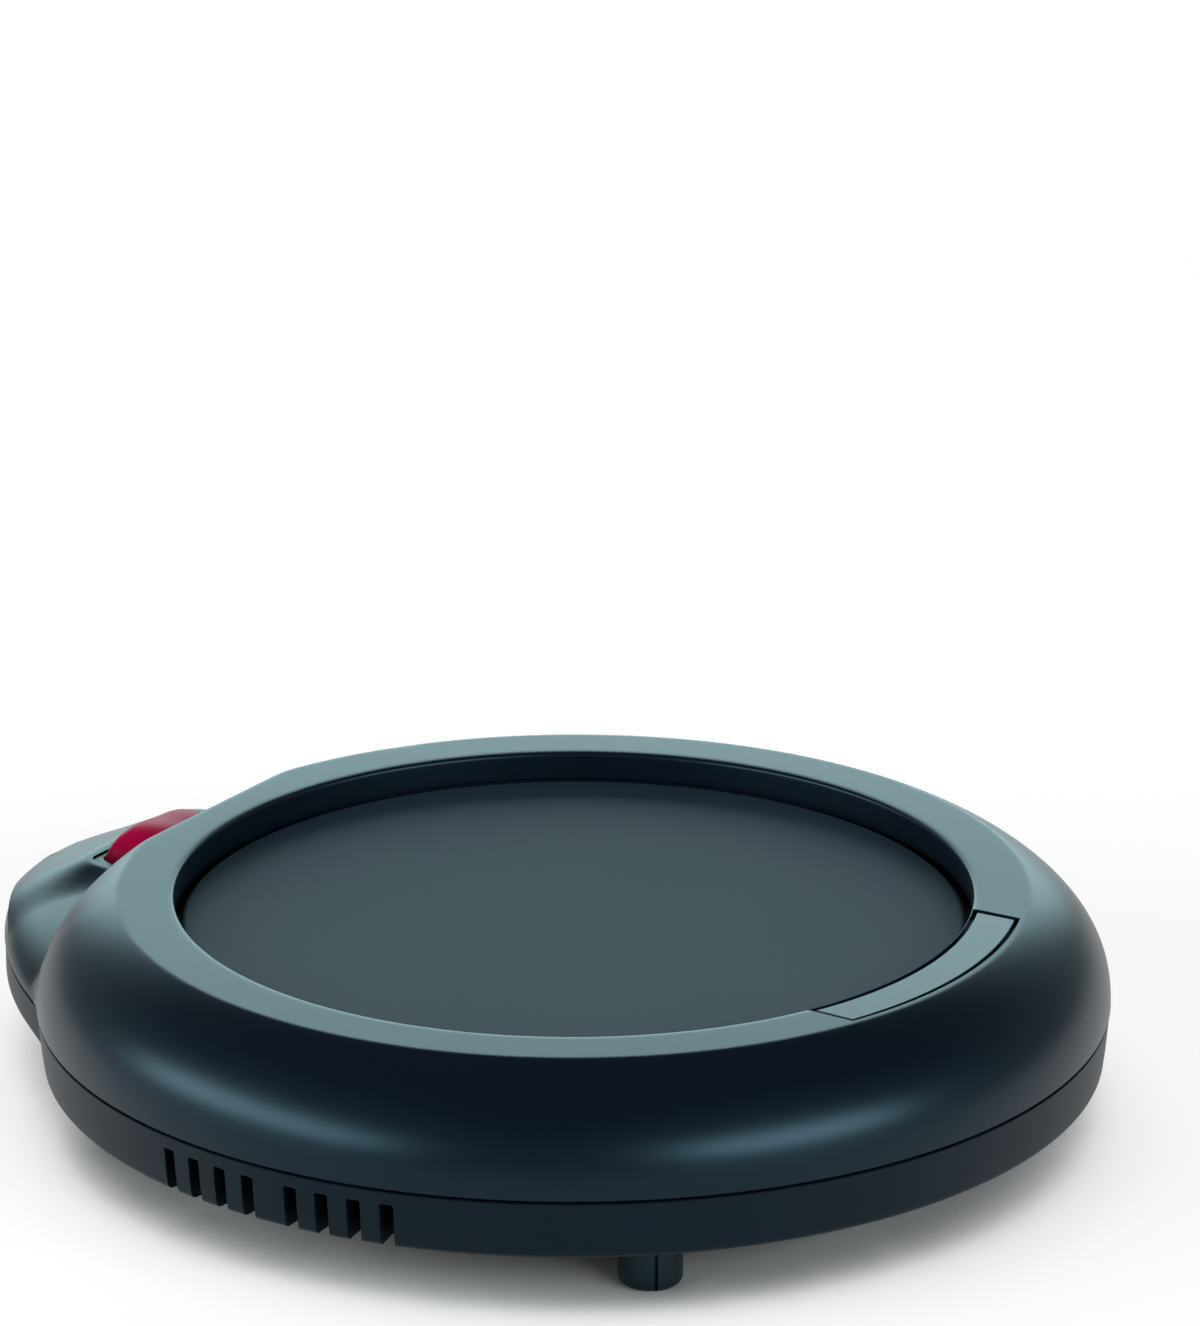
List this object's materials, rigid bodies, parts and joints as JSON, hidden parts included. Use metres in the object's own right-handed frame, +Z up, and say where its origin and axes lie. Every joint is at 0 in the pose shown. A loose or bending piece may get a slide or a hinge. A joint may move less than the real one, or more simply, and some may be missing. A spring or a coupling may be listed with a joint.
{
  "type": "electric mug warmer",
  "caption": "Round electric mug warmer with a recessed heating plate, a two-part plastic ring housing, small feet, and a lighted rocker switch on a low rear pod.",
  "frame": {"origin": "on the axis of the mug well, in the plane of the table that the feet stand on", "axes": "+Z up along the well's axis; +Y towards the switch pod at the rear; -Y towards the blank label at the front; +X to the right seen from the label"},
  "size_m": [0.129, 0.1453, 0.0279],
  "materials": {
    "housing_upper": "satin-gloss moulded ABS, blue-black",
    "housing_lower": "satin moulded ABS, blue-black",
    "label": "blank satin film",
    "plate": "matt slate non-stick coating",
    "seal": "silicone",
    "steel": "zinc plated",
    "mica": "mica sheet",
    "ribbon": "resistance ribbon",
    "pad": "glass-fibre felt",
    "shield": "bright sheet",
    "ceramic": "unglazed",
    "brass": "plain",
    "wire_brown": "sleeved wire",
    "wire_blue": "sleeved wire",
    "wire_white": "glass-fibre sleeve",
    "cap": "nylon",
    "switch": "moulded nylon",
    "red": "translucent red, polished",
    "lamp": "clear neon bulb",
    "gland": "moulded",
    "foot": "moulded, satin"
  },
  "bodies": {
    "base": {"upper_housing": "housing_upper", "lower_housing": "housing_lower", "label_plate": "label", "heating_plate": "plate", "plate_seal": "seal", "plate_retainer": "steel", "retainer_screws": "steel", "mica_upper": "mica", "heating_ribbon": "ribbon", "mica_lower": "mica", "clamp_plate": "steel", "insulation_pad": "pad", "heat_shield": "shield", "stud_nuts": "steel", "element_posts": "brass", "post_bushes": "ceramic", "thermal_fuse": "ceramic", "fuse_clip": "steel", "live_lead": "wire_brown", "switched_lead": "wire_brown", "fuse_lead": "wire_white", "neutral_lead": "wire_blue", "splice_caps": "cap", "switch_body": "switch", "centre_terminal": "brass", "side_terminal": "brass", "neon_lamp": "lamp", "cord_gland": "gland", "housing_screws": "steel", "rubber_feet": "foot"},
    "rocker": {"rocker": "red", "rocker_plunger": "brass", "plunger_spring": "steel"},
    "contact": {"moving_contact": "brass"}
  },
  "joints": [
    {"name": "rocker_tip", "type": "hinge", "parent": "base", "child": "rocker", "pos_m": [0, 0.06025, 0.0205], "axis": [0, 1, 0], "range_deg": [0, 14]},
    {"name": "contact_tip", "type": "hinge", "parent": "base", "child": "contact", "pos_m": [0, 0.06025, 0.0141], "axis": [0, 1, 0], "range_deg": [-10, 0]}
  ],
  "couplings": [
    {"joint": "contact_tip", "follows": "rocker_tip", "ratio": -0.71429}
  ]
}
